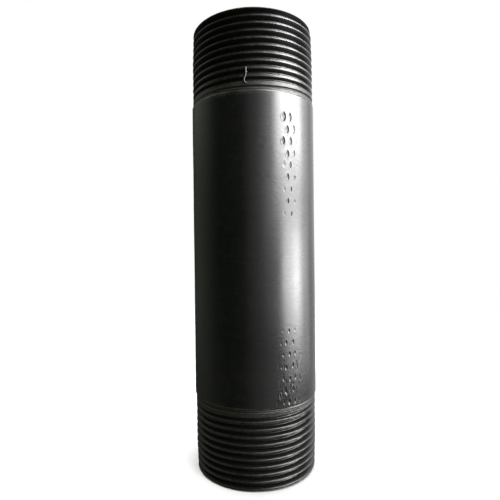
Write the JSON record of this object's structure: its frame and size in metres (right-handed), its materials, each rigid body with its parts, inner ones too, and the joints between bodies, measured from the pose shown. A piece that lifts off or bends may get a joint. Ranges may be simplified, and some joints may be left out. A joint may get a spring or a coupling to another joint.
{
  "type": "threaded pipe nipple",
  "caption": "Straight black steel pipe nipple with a right-hand taper thread on each end, a plain barrel between them and a clear through bore.",
  "frame": {"origin": "centre of the lower end face, on the tube's axis", "axes": "+Z along the tube from the lower end to the upper end, -Y towards the viewer of the front, +X to the right"},
  "size_m": [0.0424, 0.0424, 0.15],
  "materials": {
    "black_finish": "thin semi-gloss black lacquer over the steel, with tool marks",
    "weld_metal": "dull dark weld metal under the same thin coating"
  },
  "bodies": {
    "root": {"lower_threaded_end": "black_finish", "barrel": "black_finish", "upper_threaded_end": "black_finish", "inner_weld_bead": "weld_metal"}
  },
  "joints": []
}
